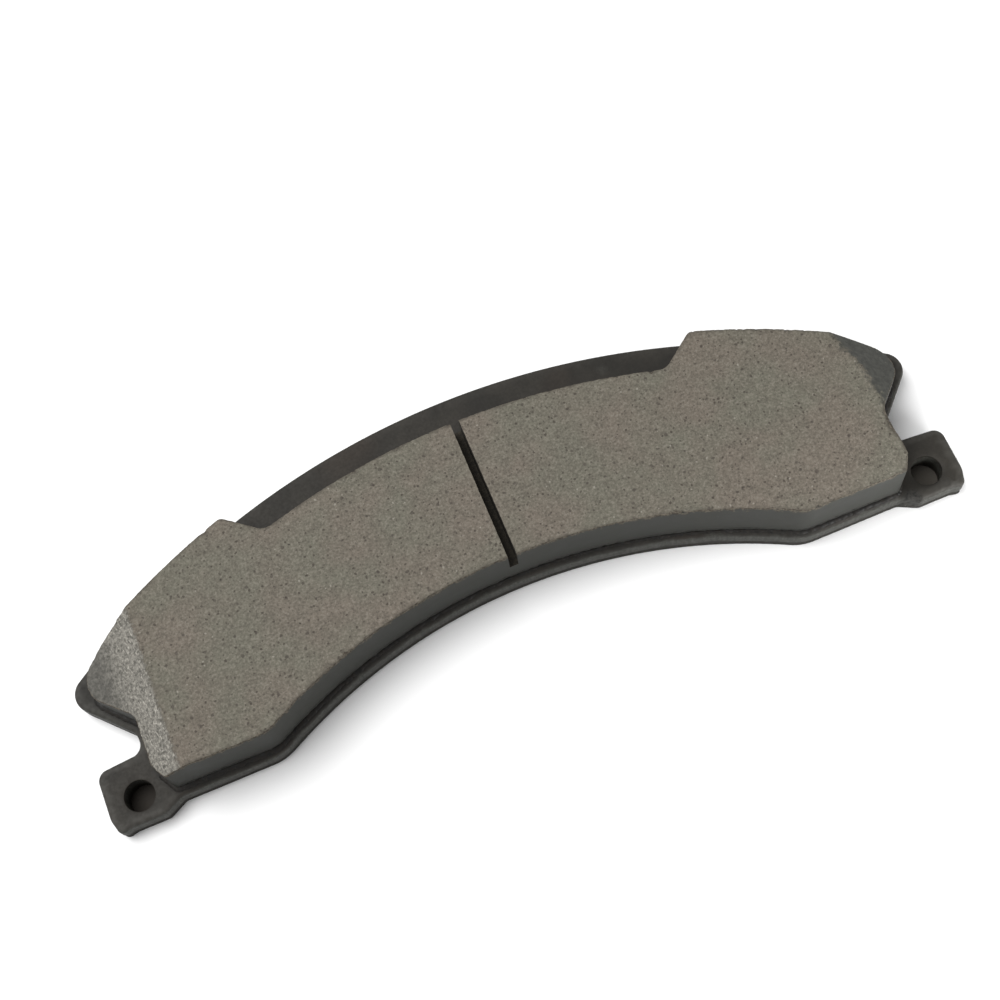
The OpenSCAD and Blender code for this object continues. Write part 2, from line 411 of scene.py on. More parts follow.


# Painted shade darkens the steel beside the lining, where the lining shades it, most of all at the
# left
SHADE_FROM_Z, SHADE_REACH, SHADE_FULL = 6, 1.3, 1.25
SHADE_START_X, SHADE_RUN_X, SHADE_LEAST = -30, 50, 0.08
glue_line = fine_steps(cad_outlines("adhesive_film", PLATE_T)[0], PLATE_STEP, AXLE, ())
glue_places = KDTree(len(glue_line))
for i, p in enumerate(glue_line):
    glue_places.insert((p[0], p[1], 0), i)
glue_places.balance()


def shear_wander(x, y):
    """The line between the sheared and the torn part of the wall rises and falls, in mm."""
    return 0.5 * wobble(x, y, 0, 4.5, 8) + 0.2 * wobble(x, y, 0, 1.0, 10)


def ledge_shade_depth(x, y, z):
    """How dark the painted shade is, 0 to 1: full against the lining and fading away from it."""
    away = glue_places.find((x, y, 0))[2]
    leftward = np.clip((SHADE_START_X - x) / SHADE_RUN_X, SHADE_LEAST, 1)
    return (z > SHADE_FROM_Z) * float(np.clip(SHADE_FULL - away / SHADE_REACH, 0, 1) * leftward)


# Heights of the wall's bands. The coating is lighter over the rolled edge, partly worn and
# partly a painted highlight, most of all round the ears.
ROLLED, SHEARED, TORN, BLEND = (6.0, 7.3), (2.4, 6.6), (-1.5, 2.6), 0.5
EAR_FROM, EAR_TO, EAR_BLEND = 100, 130, 6
edge_points = len(BLANKED_EDGE) * len(plate_lines[0])


# Painted highlight with some wear: how much lighter the rolled edge is, most of all round the ears
def rubbed(x):
    return 0.35 + 0.65 * between(abs(x), EAR_FROM, EAR_TO, EAR_BLEND)


plate_marks = [
    ("rolled", [between(z, *ROLLED, BLEND) * (i < edge_points) * rubbed(x)
                for i, (x, y, z) in enumerate(plate.points)]),
    ("painted_ledge_shade", [ledge_shade_depth(x, y, z) for x, y, z in plate.points]),
    ("burred", [burr_share(x, y) for x, y, z in plate.points]),
    ("sheared", [between(z + shear_wander(x, y), *SHEARED, BLEND) for x, y, z in plate.points]),
    ("torn", [between(z + shear_wander(x, y), *TORN, BLEND) * (i < edge_points)
              for i, (x, y, z) in enumerate(plate.points)])]
steel = plate.piece("steel_backing_plate", [coated_steel()], marks=plate_marks)
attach(steel, "root")
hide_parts("backing_plate")

# ---------------------------------------------------------------------------------
# Adhesive: a thin film rolled on the plate before moulding. Under the press it
# squeezes out and cures as a dark, uneven bead round the foot of the lining.

# The lining sits a little right of the plate's middle, and turned a little on it
LINING_SHIFT, LINING_TURN = np.array([0.1, 0.0]), math.radians(-0.24)
LINING_ARCS, LINING_STEP = (203.0, 192.7, 152.0), 0.45
turned = np.array([[math.cos(LINING_TURN), -math.sin(LINING_TURN)],
                   [math.sin(LINING_TURN), math.cos(LINING_TURN)]])
lining_centre = turned @ AXLE + LINING_SHIFT
FOOT_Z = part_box("friction_lining")[0].z / MM
lining_line = cad_outlines("friction_lining", FOOT_Z)[0]
lining_line = fine_steps(lining_line, LINING_STEP, lining_centre, LINING_ARCS)
lining_in = inward(lining_line)

# How far the bead stands out, in mm: more at the left end, and along the inner edge at the right
SQUEEZE_LEAST, SQUEEZE_MOST, BEAD_TALLEST = 0.04, 1.1, 0.7
toward_right = ((lining_line[:, 0] - 50) / 25).clip(0, 1)
inner_side = lining_in[:, 1].clip(0, 0.5) * 2
squeeze = np.array([0.22 + 0.22 * wobble(x, y, 0, 2.5, 11) + 0.22 * wobble(x, y, 0, 0.8, 12)
                    + 0.55 * np.clip(-x / 80, 0, 1) for x, y in lining_line])
squeeze += inner_side * (0.12 + 0.33 * toward_right)
squeeze = squeeze.clip(SQUEEZE_LEAST, SQUEEZE_MOST)

# Each ring of the bead, from inside the joint round to the film's top: its inset in mm,
# then its reach outward and its height as shares of the squeeze.
FILM_TOP, FILM_FOOT, FILM_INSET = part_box("adhesive_film")[1].z / MM, PLATE_T + 0.01, 1.1
BEAD = [(FILM_INSET, 0.0, 0.0), (0.0, -1.0, 0.0), (0.0, -1.15, 0.25), (0.0, -0.95, 0.6),
        (0.05, -0.5, 0.95), (0.25, 0.0, 1.15), (0.7, 0.1, 1.1)]
film = Shell()
film_rings = [film.ring(lining_line + lining_in * (inset + out * squeeze)[:, None],
                        FILM_FOOT + up * squeeze.clip(0, BEAD_TALLEST) * 0.9)
              for inset, out, up in BEAD]
film_rings.append(film.ring(lining_line + lining_in * FILM_INSET, FILM_TOP))
film.bands(film_rings)
film_fill = honeycomb(plate_low, plate_high, 6)
film.cap([film_rings[-1]], film_fill, lambda x, y: FILM_TOP)
film.cap([film_rings[0]], film_fill, lambda x, y: FILM_FOOT, up=False)


def cured_adhesive():
    """Dark brown and half glossy, with dust and grit caught in it."""
    made, tree, shader, where = new_finish("cured_adhesive", 0.5, 0.3)
    lumps = mottle(tree, where, 1.1, 3)
    colour = mixed(tree, spread(tree, lumps, 0.35, 0.7),
                   (0.006, 0.0055, 0.0045), (0.018, 0.015, 0.012))
    grit = spread(tree, mottle(tree, where, 0.35, 2), 0.62, 0.7)
    colour = mixed(tree, calc(tree, "MULTIPLY", grit, 0.25), colour, (0.09, 0.08, 0.07))
    wire(tree, shader, colour, spread(tree, lumps, 0.3, 0.7, 0.45, 0.75), lumps, 0.2)
    return made


bead = film.piece("adhesive_bead", [cured_adhesive()], sharp=60)
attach(bead, "root")
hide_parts("adhesive_film")

# ---------------------------------------------------------------------------------
# Underlayer: a tougher dark compound pressed under the friction material. Its foot is
# ragged and drawn back, and its keys run down into the plate's four holes.

# Each ring of its side, from the foot up: its inset, how far it may wander, its height
UNDER_TOP = FOOT_Z
UNDER_SIDE = [(0.95, 0.15, FILM_TOP), (0.62, 0.30, FILM_TOP + 0.15), (0.35, 0.35, FILM_TOP + 0.4),
              (0.16, 0.20, FILM_TOP + 0.7), (0.07, 0.08, FILM_TOP + 1.1),
              (0.04, 0.04, UNDER_TOP - 0.25), (0.06, 0.02, UNDER_TOP)]
under = Shell()
under_rings = []
for inset, tear, z in UNDER_SIDE:
    drawn = np.array([inset + tear * wobble(x, y, z * 1.5, 1.4, 21) for x, y in lining_line])
    under_rings.append(under.ring(lining_line + lining_in * drawn[:, None], z))
under.bands(under_rings)
under.cap([under_rings[-1]], film_fill, lambda x, y: UNDER_TOP)

# The keys: straight down in the keying holes, rounded and uneven at their ends. The two
# ear holes, which lie on the line y = 0, stay open.
KEY_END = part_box("underlayer")[0].z / MM
KEY_GAP, KEY_SHRINK, KEY_ROWS, KEY_PITCH, EAR_HOLE_Y = 0.05, 0.02, 6, 0.7, 1
KEY_TIP = [(0.1, 0.3), (0.4, 0.1), (1.0, 0.02)]
key_mouths = []
for line in plate_lines[1:]:
    centre, r = line.mean(0), np.linalg.norm(line[0] - line.mean(0))
    if abs(centre[1]) < EAR_HOLE_Y:
        continue
    spokes = (line - centre) / r
    rings = [under.ring(centre + spokes * (r - KEY_GAP), FILM_TOP)]
    for z in np.linspace(PLATE_T - 0.4, KEY_END + 0.7, KEY_ROWS):
        rings.append(under.ring(centre + spokes * (r - KEY_GAP - KEY_SHRINK), z))
    for shrink, lift in KEY_TIP:
        uneven = np.array([lift + 0.25 * abs(wobble(*p, 0, 1.5, 23)) for p in line])
        rings.append(under.ring(centre + spokes * (r - KEY_GAP - shrink), KEY_END + uneven))
    under.bands(rings)
    under.cap([rings[-1][::-1]], honeycomb(centre - r, centre + r, KEY_PITCH),
              lambda x, y: KEY_END + 0.05 + 0.3 * abs(wobble(x, y, 0, 1.8, 24)), up=False)
    key_mouths.append(rings[0])
under.cap([under_rings[0]] + key_mouths, film_fill, lambda x, y: FILM_TOP, up=False)


def dark_compound():
    """Resin compound: near-black and torn at its foot, skinned over by the mould above."""
    made, tree, shader, where = new_finish("dark_compound", 0.7, 0.25)
    lumps = mottle(tree, where, 0.9, 4, 0.6)
    torn = mixed(tree, spread(tree, lumps, 0.3, 0.7), (0.006, 0.006, 0.005), (0.022, 0.021, 0.019))
    fibre = spread(tree, mottle(tree, where, 0.3, 2, 0.6), 0.64, 0.72)
    torn = mixed(tree, calc(tree, "MULTIPLY", fibre, 0.4), torn, (0.12, 0.11, 0.095))
    cloud = mottle(tree, where, 7, 3)
    skin = mixed(tree, spread(tree, cloud, 0.3, 0.7),
                 (0.0175, 0.018, 0.0145), (0.0250, 0.0255, 0.0210))
    above = calc(tree, "ADD", mark_of(tree, "rise"), spread(tree, lumps, 0.25, 0.75, -0.2, 0.2))
    skinned = spread(tree, above, 0.3, 0.6)
    colour = mixed(tree, skinned, torn, skin)
    height = calc(tree, "MULTIPLY", lumps, spread(tree, skinned, 0.0, 1.0, 1.0, 0.1))
    wire(tree, shader, colour, spread(tree, lumps, 0.3, 0.7, 0.58, 0.8), height, 0.35)
    return made


def rise(x, z):
    """How far up its side a point is, 0 to 1, taken lower at the right, where more is torn."""
    return (z - FILM_TOP) / (UNDER_TOP - FILM_TOP) - 0.2 * float(np.clip((x - 50) / 25, 0, 1))


under_marks = [("rise", [rise(x, z) for x, y, z in under.points])]
ragged = under.piece("ragged_underlayer", [dark_compound()], sharp=50, marks=under_marks)
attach(ragged, "root")
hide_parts("underlayer")

# ---------------------------------------------------------------------------------
# Friction lining: one block hot-moulded from resin, fibre and metal powder. Its sides
# keep the mould's smooth dark skin; the face is ground flat and pale, the slot is
# sawn in, the left end is ground off coarse and the right end smooth.

FACE = cad_box[1].z / MM
SLOT_HALF, SLOT_DEPTH, SLOT_STEPS = 1.2, 7.8, 70
SLOT_FLOOR = FACE - SLOT_DEPTH
LEFT_RIDGE, LEFT_FALL = -95.5, math.tan(math.radians(27.5))
RIGHT_RIDGE, RIGHT_LEAN, RIGHT_KNEE, RIGHT_BEND = 103.1, 0.25, 26.0, 1.5
RIGHT_FALL = math.tan(math.radians(36)) * math.cos(math.radians(13))


def past_left(x, y):
    """How far a point lies past the ridge of the coarse chamfer."""
    return LEFT_RIDGE - x


def past_right(x, y):
    """How far a point lies past the ridge of the smooth chamfer, which bends at the knee."""
    past_knee = RIGHT_BEND * np.logaddexp(0, (y - RIGHT_KNEE) / RIGHT_BEND)
    return x - (RIGHT_RIDGE - RIGHT_LEAN * past_knee)


def face_height(x, y):
    """The ground face: flat, falling away past each ridge, coarse at the left."""
    left, right = past_left(x, y), past_right(x, y)
    if left > 0:
        coarse = 0.30 * wobble(x, y, 0, 1.1, 31) + 0.22 * wobble(x, y, 0, 3.2, 32)
        return min(FACE, FACE - left * LEFT_FALL + coarse * min(1, left / 0.8) - 0.1 * min(1, left))
    if right > 0:
        smooth = 0.05 * wobble(x, y, 0, 2.0, 33)
        return min(FACE, FACE - right * RIGHT_FALL + smooth * min(1, right))
    return FACE - 0.02 * abs(wobble(x, y, 0, 2.2, 34))


def with_slot_corners(line):
    """The outline with a point exactly where each edge of the slot crosses it."""
    out = []
    for a, b in zip(line, np.roll(line, -1, 0)):
        out.append(a)
        cuts = [e for e in (-SLOT_HALF, SLOT_HALF) if (a[0] - e) * (b[0] - e) < 0]
        for e in sorted(cuts, key=lambda e: abs(e - a[0])):
            out.append(a + (b - a) * (e - a[0]) / (b[0] - a[0]))
    return np.array(out)


# The mould's draft. The right end's edge is broken away in the hollow above the ear.
DRAFT, SIDE_INSET = 0.3, 0.03
BREAK_X, BREAK_Y, BREAK_HALF, BREAK_SIZE = 100, 10.8, 4.5, 0.9
CHIP_LEAST, CHIP_MOST = 0.1, 1.4


def lean(z):
    """The sides lean in from foot to face, so that the block leaves its mould."""
    return DRAFT * (z - FOOT_Z) / (FACE - FOOT_Z)


def side_inset(x, y, z):
    """How far the moulded side stands in from the outline, in mm."""
    return SIDE_INSET + 0.03 * wobble(x, y, z, 7, 37) + lean(z)


def chip_size(x, y):
    """How much of the sharp upper edge has crumbled away, in mm."""
    small = 0.22 + 0.15 * wobble(x, y, 0, 1.0, 35)
    large = max(0.0, wobble(x, y, 0, 3.0, 36) - 0.48) * 1.2
    in_break = max(0.0, 1 - ((y - BREAK_Y) / BREAK_HALF) ** 2)
    broken = BREAK_SIZE * in_break if x > BREAK_X else 0.0
    return min(CHIP_MOST, max(CHIP_LEAST, small) + large + broken)


block = Shell()
wall_line = with_slot_corners(lining_line)
wall_in = inward(wall_line)
on_edge = abs(abs(wall_line[:, 0]) - SLOT_HALF) < WELD
in_slot = (abs(wall_line[:, 0]) < SLOT_HALF - WELD)
wall_in[on_edge, 0] = 0
chip = np.array([chip_size(x, y) for x, y in wall_line])
edge_height = np.array([face_height(x, y) for x, y in wall_line])
top_line = wall_line + wall_in * (chip + lean(edge_height))[:, None]
crest = np.array([face_height(x, y) for x, y in top_line])
edge_height = np.minimum(edge_height, crest)

# The sides, in rows up to the waist, which is level with the slot's floor where the slot
# comes through, and in rows above it that leave the slot's mouths open.
GROUND, MOULDED, SAWN = 0, 1, 2
LOWER_ROWS, UPPER_ROWS, WAIST_SHARE = 9, 11, 0.45
waist = np.minimum(SLOT_FLOOR, FOOT_Z + WAIST_SHARE * (edge_height - FOOT_Z))
waist[on_edge | in_slot] = SLOT_FLOOR
rows = []
for k in range(LOWER_ROWS + 1):
    z = FOOT_Z + (waist - FOOT_Z) * (k / LOWER_ROWS)
    frayed = max(0.0, 1 - k / 1.5)
    inset = [side_inset(x, y, h) + frayed * (0.05 + 0.05 * wobble(x, y, 0, 1.2, 38))
             for (x, y), h in zip(wall_line, z)]
    xy = wall_line + wall_in * np.clip(inset, 0, 1)[:, None]
    rows.append(block.ring(xy, z))
block.bands(rows, MOULDED)

# Each ring of the crumbled edge: its inset and its depth, as shares of the chip there
EDGE_STEPS = [(0.0, 1.25), (0.12, 0.55), (0.42, 0.14)]
CHIP_FOOT = EDGE_STEPS[0][1]
keep = [i for i in range(len(wall_line)) if not in_slot[i]]
upper = [[rows[-1][i] for i in keep]]
for k in range(1, UPPER_ROWS):
    z = waist + (edge_height - CHIP_FOOT * chip - waist) * (k / UPPER_ROWS)
    inset = [side_inset(x, y, h) for (x, y), h in zip(wall_line, z)]
    xy = wall_line + wall_in * np.clip(inset, 0, 1)[:, None]
    upper.append(block.ring(xy[keep], z[keep]))
for inset, depth in EDGE_STEPS:
    crumble = np.array([0.10 * wobble(x, y, depth * 3, 0.6, 39) for x, y in wall_line])
    crumble[on_edge] = 0
    z = crest - depth * chip
    xy = wall_line + wall_in * (SIDE_INSET + chip * inset + np.abs(crumble) + lean(z))[:, None]
    upper.append(block.ring(xy[keep], z[keep]))
upper.append(block.ring(top_line[keep], crest[keep]))
slot_run = [n for n in range(len(keep))
            if keep[(n + 1) % len(keep)] != (keep[n] + 1) % len(wall_line)]
for low, high in zip(upper, upper[1:]):
    for n in range(len(keep)):
        m = (n + 1) % len(keep)
        if n not in slot_run:
            block.faces.append((low[n], low[m], high[m], high[n]))
            block.finish.append(MOULDED)

# The slot's two sides and its floor. The outline runs anticlockwise, so the first gap
# in keep starts at the slot's edge on one side and ends at its edge on the other.
inner_gap, outer_gap = sorted(slot_run, key=lambda n: wall_line[keep[n]][1])
in_left, in_right = inner_gap, (inner_gap + 1) % len(keep)
out_right, out_left = outer_gap, (outer_gap + 1) % len(keep)


def slot_side(inner, outer, side):
    """Rows of points along one side of the slot, from its floor up to the face."""
    made = []
    for row, ring in enumerate(upper):
        a, b = np.array(block.points[ring[inner]]), np.array(block.points[ring[outer]])
        between_ends = []
        for k in range(1, SLOT_STEPS):
            p = a + (b - a) * k / SLOT_STEPS
            if row == len(upper) - 1:
                p[2] = FACE - 0.03
            p[0] += side * (0.04 + 0.05 * wobble(p[0], p[1], p[2], 1.5, 40)) if row else 0
            between_ends.append(tuple(p))
        first = len(block.points)
        block.points += between_ends
        made.append([ring[inner]] + list(range(first, len(block.points))) + [ring[outer]])
    return made


left_side = slot_side(in_left, out_left, -1)
right_side = slot_side(in_right, out_right, 1)
block.bands(left_side, SAWN, closed=False)
for low, high in zip(right_side, right_side[1:]):
    block.band(high, low, SAWN, closed=False)


def run(ring, first, last):
    """The stretch of a closed ring from first on to last."""
    count = (last - first) % len(ring)
    return [ring[(first + i) % len(ring)] for i in range(count + 1)]


floor_out = run(rows[-1], keep[out_right], keep[out_left])
floor_in = run(rows[-1], keep[in_left], keep[in_right])
floor_rim = floor_in + right_side[0][1:-1] + floor_out + left_side[0][1:-1][::-1]
block.cap([floor_rim], honeycomb((-SLOT_HALF, 5), (SLOT_HALF, 60), 0.6),
          lambda x, y: SLOT_FLOOR - 0.12 * abs(wobble(x, y, 0, 1.0, 41)), finish=SAWN)

# The ground face, left and right of the slot, with its points closest on the coarse chamfer
COARSE_PITCH, LEFT_PITCH, RIGHT_PITCH = 0.42, 0.9, 0.85
LEFT_END, RIGHT_END, FACE_BOTTOM, FACE_TOP = -115.0, 116.0, -4, 62
left_rim = run(upper[-1], out_left, in_left) + left_side[-1][1:-1]
right_rim = run(upper[-1], in_right, out_right) + right_side[-1][1:-1][::-1]
coarse_fill = honeycomb((LEFT_END, FACE_BOTTOM), (LEFT_RIDGE + 1.0, FACE_TOP), COARSE_PITCH)
left_fill = honeycomb((LEFT_RIDGE + 1.4, FACE_BOTTOM), (0.0, FACE_TOP), LEFT_PITCH)
right_fill = honeycomb((0.0, FACE_BOTTOM), (RIGHT_END, FACE_TOP), RIGHT_PITCH)
block.cap([left_rim], np.concatenate([coarse_fill, left_fill]), face_height, finish=GROUND)
block.cap([right_rim], right_fill, face_height, finish=GROUND)
block.cap([rows[0]], film_fill, lambda x, y: FOOT_Z, up=False, finish=MOULDED)


def specks(tree, where, size, share, biggest, soft=0.05):
    """Round-cornered grains, 0 or 1: cells of that size, a share of them filled."""
    shaky = put(tree, "TexNoise", Vector=where, Scale=1.6 / (size * MM),
                Detail=2.0).outputs["Color"]
    moved = put(tree, "VectorMath", {"operation": "MULTIPLY_ADD"})
    tree.links.new(shaky, moved.inputs[0])
    moved.inputs[1].default_value = (size * MM * 0.5,) * 3
    tree.links.new(where, moved.inputs[2])
    cells = put(tree, "TexVoronoi", Vector=moved.outputs[0], Scale=1.0 / (size * MM))
    lot = put(tree, "SeparateColor", Color=cells.outputs["Color"]).outputs[0]
    reach = spread(tree, lot, 1.0 - share, 1.0, 0.0, biggest, smooth=False)
    edge = calc(tree, "SUBTRACT", reach, cells.outputs["Distance"])
    return spread(tree, edge, 0.0, soft)


def ground_face():
    """Pale ground compound with dark and light grains, scorched in places at its rim, and
    the two end chamfers, each cut through to another grain, the left one with a painted highlight
    along its ridge and painted shade beyond."""
    made, tree, shader, where = new_finish("ground_compound", 0.8, 0.35)
    patch = spread(tree, mottle(tree, where, 16, 2), 0.35, 0.65)
    colour = mixed(tree, patch, (0.1180, 0.1125, 0.0868), (0.1305, 0.1105, 0.0882))
    cloudy = spread(tree, mottle(tree, where, 3.0, 3), 0.3, 0.7, 0.0, 0.42)
    colour = mixed(tree, cloudy, colour, (0.090, 0.080, 0.062))
    grain = mottle(tree, where, 0.55, 3, 0.7)
    colour = mixed(tree, spread(tree, grain, 0.50, 0.68, 0.0, 0.5), colour, (0.215, 0.195, 0.162))
    low_grain = spread(tree, calc(tree, "SUBTRACT", 1.0, grain), 0.50, 0.66, 0.0, 0.6)
    colour = mixed(tree, low_grain, colour, (0.056, 0.048, 0.039))
    dark = specks(tree, where, 1.7, 0.6, 0.34, 0.12)
    colour = mixed(tree, calc(tree, "MULTIPLY", dark, 0.6), colour, (0.034, 0.027, 0.022))
    middling = specks(tree, where, 1.15, 0.6, 0.35, 0.06)
    colour = mixed(tree, calc(tree, "MULTIPLY", middling, 0.72), colour, (0.032, 0.025, 0.019))
    black = specks(tree, where, 2.2, 0.55, 0.14, 0.06)
    colour = mixed(tree, calc(tree, "MULTIPLY", black, 0.8), colour, (0.020, 0.016, 0.013))
    fine_dark = specks(tree, where, 0.95, 0.4, 0.3, 0.12)
    colour = mixed(tree, calc(tree, "MULTIPLY", fine_dark, 0.55), colour, (0.036, 0.029, 0.024))
    light = specks(tree, where, 1.4, 0.14, 0.24)
    colour = mixed(tree, calc(tree, "MULTIPLY", light, 0.5), colour, (0.30, 0.28, 0.24))
    here_and_there = spread(tree, mottle(tree, where, 2.2, 3), 0.35, 0.65, 0.1, 0.8)
    scorched = calc(tree, "MULTIPLY", mark_of(tree, "rim"), here_and_there)
    colour = mixed(tree, scorched, colour, (0.050, 0.043, 0.034))
    # Coarse chamfer at the left: torn, with pale fibres and a painted highlight thickest along the
    # ridge, and darker further out, by its own tone and by painted shade
    reach = mark_of(tree, "past_left")
    torn_grain = mottle(tree, where, 0.8, 4, 0.75)
    streaky = put(tree, "Mapping", Vector=where)
    streaky.inputs["Rotation"].default_value = (0.0, 0.0, 0.9)
    streaky.inputs["Scale"].default_value = (1.0, 0.45, 1.0)
    fibres = mottle(tree, streaky.outputs[0], 0.40, 3, 0.75)
    torn = mixed(tree, spread(tree, torn_grain, 0.32, 0.68),
                 (0.066, 0.063, 0.054), (0.225, 0.213, 0.186))
    # Painted highlight: the fibres are brightest in a band along the ridge, where the chamfer faces
    # the light
    band = spread(tree, reach, 4.0, 12.0, 1.0, 0.2)
    pale_fibres_and_glint = calc(tree, "MULTIPLY", spread(tree, fibres, 0.50, 0.72), band)
    torn = mixed(tree, calc(tree, "MULTIPLY", pale_fibres_and_glint, 0.62), torn, (0.52, 0.49, 0.43))
    # Painted shade with the chamfer's own darker tone: darker further past the ridge, standing in
    # for a steeper fall away from the light
    torn = mixed(tree, spread(tree, reach, 6.0, 14.0, 0.0, 0.62), torn, (0.070, 0.0675, 0.060))
    pulled = spread(tree, mottle(tree, where, 2.4, 4, 0.65), 0.40, 0.66, 0.0, 0.5)
    pulled = calc(tree, "MULTIPLY", pulled, spread(tree, reach, 6.0, 13.0))
    torn = mixed(tree, pulled, torn, (0.040, 0.0385, 0.034))
    uneven = calc(tree, "ADD", reach, spread(tree, torn_grain, 0.2, 0.8, -0.7, 0.7))
    on_left = spread(tree, uneven, -0.5, 0.6)
    colour = mixed(tree, on_left, colour, torn)
    # Smooth chamfer at the right: dark, close and even, with tiny pale flecks
    smooth = mixed(tree, spread(tree, mottle(tree, where, 1.2, 3), 0.3, 0.7),
                   (0.034, 0.0345, 0.029), (0.055, 0.055, 0.047))
    flecks = calc(tree, "MULTIPLY", specks(tree, where, 0.8, 0.2, 0.22), 0.4)
    smooth = mixed(tree, flecks, smooth, (0.24, 0.23, 0.21))
    smeared = spread(tree, mottle(tree, where, 1.8, 4, 0.65), 0.2, 0.8, -1.9, 1.9)
    on_right = spread(tree, calc(tree, "ADD", mark_of(tree, "past_right"), smeared), -0.9, 1.3)
    colour = mixed(tree, on_right, colour, smooth)
    glint = calc(tree, "MULTIPLY", pale_fibres_and_glint, calc(tree, "MULTIPLY", on_left, 0.35))
    rough = calc(tree, "SUBTRACT", 0.82, glint)
    rough = calc(tree, "SUBTRACT", rough, calc(tree, "MULTIPLY", on_right, 0.2))
    pits = calc(tree, "SUBTRACT", grain, calc(tree, "MULTIPLY", dark, 0.8))
    deep = calc(tree, "ADD", torn_grain, fibres)
    deep = calc(tree, "MULTIPLY", deep, calc(tree, "MULTIPLY", on_left, 2.0))
    wire(tree, shader, colour, rough, calc(tree, "ADD", pits, deep), 0.12, 0.8)
    return made


def moulded_skin():
    """The mould's satin skin: clouded, with faint drag lines, pale grains and pores, and
    rubbed through to dusty compound along its upper edge."""
    made, tree, shader, where = new_finish("moulded_skin", 0.6, 0.2)
    drawn = put(tree, "Mapping", Vector=where)
    drawn.inputs["Scale"].default_value = (1.0, 1.0, 0.12)
    drag = mottle(tree, drawn.outputs[0], 1.1, 3)
    cloud = mottle(tree, where, 7, 3)
    colour = mixed(tree, spread(tree, cloud, 0.3, 0.7),
                   (0.0200, 0.0205, 0.0165), (0.0280, 0.0285, 0.0235))
    colour = mixed(tree, spread(tree, drag, 0.35, 0.75, 0.0, 0.12), colour, (0.016, 0.0165, 0.0145))
    pale = specks(tree, where, 1.9, 0.3, 0.16, 0.08)
    colour = mixed(tree, calc(tree, "MULTIPLY", pale, 0.35), colour, (0.055, 0.054, 0.046))
    pores = specks(tree, where, 2.7, 0.35, 0.13, 0.06)
    colour = mixed(tree, calc(tree, "MULTIPLY", pores, 0.6), colour, (0.008, 0.008, 0.007))
    uneven = spread(tree, mottle(tree, where, 1.6, 4, 0.65), 0.25, 0.75, -1.3, 1.3)
    rub = calc(tree, "ADD", mark_of(tree, "drop"), uneven)
    crumb = mottle(tree, where, 0.6, 3, 0.7)
    dusty = mixed(tree, spread(tree, crumb, 0.3, 0.7), (0.034, 0.028, 0.022), (0.135, 0.118, 0.092))
    colour = mixed(tree, spread(tree, rub, 1.5, 0.4), colour, dusty)
    rough = calc(tree, "ADD", spread(tree, cloud, 0.3, 0.7, 0.56, 0.64),
                 spread(tree, rub, 1.5, 0.4, 0.0, 0.25))
    height = calc(tree, "ADD", calc(tree, "MULTIPLY", drag, 0.04),
                  calc(tree, "MULTIPLY", crumb, 0.3))
    height = calc(tree, "SUBTRACT", height, calc(tree, "MULTIPLY", pores, 0.5))
    wire(tree, shader, colour, rough, height, 0.1, 0.6)
    return made


def sawn_slot():
    """Sides and floor of the slot: dark saw dust packed on a rough cut."""
    made, tree, shader, where = new_finish("sawn_slot", 0.85, 0.25)
    lumps = mottle(tree, where, 0.8, 4, 0.65)
    colour = mixed(tree, spread(tree, lumps, 0.3, 0.7),
                   (0.012, 0.0105, 0.008), (0.042, 0.036, 0.027))
    wire(tree, shader, colour, spread(tree, lumps, 0.3, 0.7, 0.75, 0.95), lumps, 0.25)
    return made


# Marks: how far a point of the sides lies below the crest, and which points are the rim
drop = [0.0] * len(block.points)
for ring in rows:
    for i, p in enumerate(ring):
        drop[p] = crest[i] - block.points[p][2]
for ring in upper[1:]:
    for n, p in enumerate(ring):
        drop[p] = crest[keep[n]] - block.points[p][2]
rim = [0.0] * len(block.points)
for p in upper[-1]:
    rim[p] = 1.0
lining_marks = [("rim", rim),
                ("past_left", [past_left(x, y) for x, y, z in block.points]),
                ("past_right", [float(past_right(x, y)) for x, y, z in block.points]),
                ("drop", [float(d) for d in drop])]
lining = block.piece("friction_block", [ground_face(), moulded_skin(), sawn_slot()], sharp=50,
                     marks=lining_marks)
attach(lining, "root")
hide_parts("friction_lining")

# ---------------------------------------------------------------------------------
# Floor: a plain pale board, a hair's breadth under the pad, with a dark spot of painted shade
# under each ear hole, so that the holes read dark as if in deep shade.

FLOOR_HALF, FLOOR_Z = 2.5, -0.02 * MM   # metres
HOLE_SHADE_EDGE = (0.0045, 0.0055)            # metres, just wider than a hole
LEFT_HOLE_SHADE, RIGHT_HOLE_SHADE = (0.03, 0.026, 0.022), (0.075, 0.068, 0.058)
floor_mesh = bpy.data.meshes.new("floor")
floor_corners = [(-FLOOR_HALF, -FLOOR_HALF), (FLOOR_HALF, -FLOOR_HALF),
                 (FLOOR_HALF, FLOOR_HALF), (-FLOOR_HALF, FLOOR_HALF)]
floor_mesh.from_pydata([(x, y, FLOOR_Z) for x, y in floor_corners], [], [(0, 1, 2, 3)])
floor = bpy.data.objects.new("floor", floor_mesh)
bpy.context.scene.collection.objects.link(floor)
board, tree, shader, where = new_finish("pale_board", 0.9, 0.2)
plain = mixed(tree, mottle(tree, where, 60, 2), (0.89, 0.89, 0.89), (0.91, 0.91, 0.91))
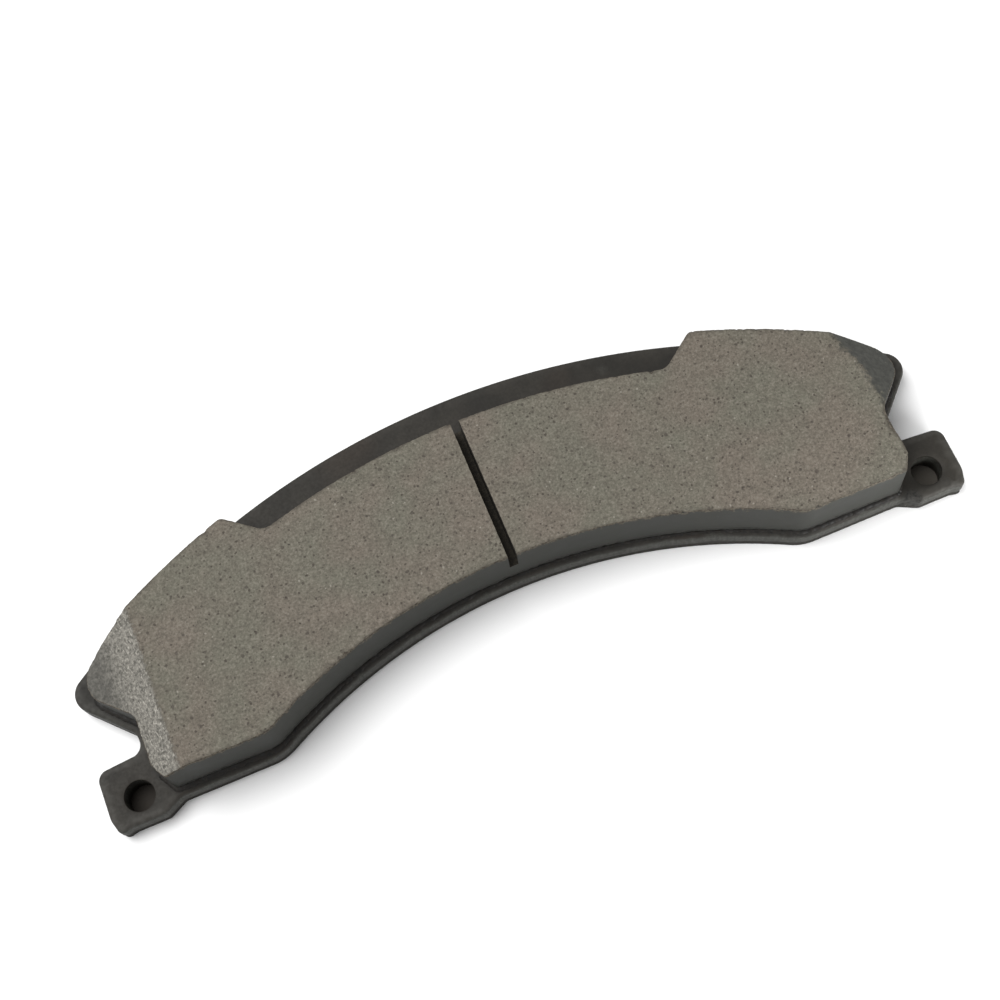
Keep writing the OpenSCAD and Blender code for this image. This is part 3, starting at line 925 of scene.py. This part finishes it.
# Painted shade: the floor is darkened under each ear hole, standing in for the shade deep in the
# hole
for mount in frame["record"]["mounts"]:
    if mount["kind"] == "bore":
        x, y = mount["pos_m"][:2]
        spot = put(tree, "VectorMath", {"operation": "DISTANCE"})
        tree.links.new(where, spot.inputs[0])
        spot.inputs[1].default_value = (x, y, 0.0)
        painted_hole_shade = spread(tree, spot.outputs["Value"], *HOLE_SHADE_EDGE, 1.0, 0.0)
        plain = mixed(tree, painted_hole_shade, plain, LEFT_HOLE_SHADE if x < 0 else RIGHT_HOLE_SHADE)
wire(tree, shader, plain, spread(tree, mottle(tree, where, 5, 2), 0.3, 0.7, 0.85, 0.95))
floor_mesh.materials.append(board)

# ---------------------------------------------------------------------------------
# Light: a wide soft box over the far left, a small weak one low at the near right, and
# an even pale room.


def soft_box(name, place, size, watts, aim=(0, 0.03, 0)):
    """A round panel of light at that place, aimed at the pad and not seen itself."""
    lamp = bpy.data.lights.new(name, "AREA")
    lamp.shape, lamp.size, lamp.energy = "DISK", size, watts
    obj = bpy.data.objects.new(name, lamp)
    obj.location = place
    obj.rotation_euler = (Vector(aim) - Vector(place)).to_track_quat("-Z", "Y").to_euler()
    obj.visible_camera = False
    bpy.context.scene.collection.objects.link(obj)


soft_box("key_box", (-0.36, 0.30, 0.99), 0.9, 14.5)
soft_box("end_box", (0.13, -0.08, 0.045), 0.06, 0.10, (0.095, 0.0, 0.008))
ROOM_STRENGTH = 0.40
room = bpy.data.worlds.new("pale_room")
room.use_nodes = True
sky = room.node_tree.nodes["Background"]
sky.inputs["Color"].default_value = (1.0, 1.0, 1.0, 1.0)
sky.inputs["Strength"].default_value = ROOM_STRENGTH
bpy.context.scene.world = room
bpy.context.scene.view_settings.view_transform = "Standard"

# ---------------------------------------------------------------------------------
# Camera: above and a little in front, turned so that the pad rises to the right.

LENS, SENSOR = 59.07, 36.0
CAMERA_PLACE = (-0.02601, -0.1142, 0.4153)
RIGHT, UP, BACK = (0.924, -0.3756, -0.0715), (0.3761, 0.8593, 0.3465), (-0.0687, -0.3471, 0.9353)
eye = bpy.data.cameras.new("camera")
eye.lens, eye.sensor_width = LENS, SENSOR
camera = bpy.data.objects.new("camera", eye)
facing = Matrix((RIGHT, UP, BACK)).transposed().to_4x4()
camera.matrix_world = Matrix.Translation(CAMERA_PLACE) @ facing
bpy.context.scene.collection.objects.link(camera)
bpy.context.scene.camera = camera
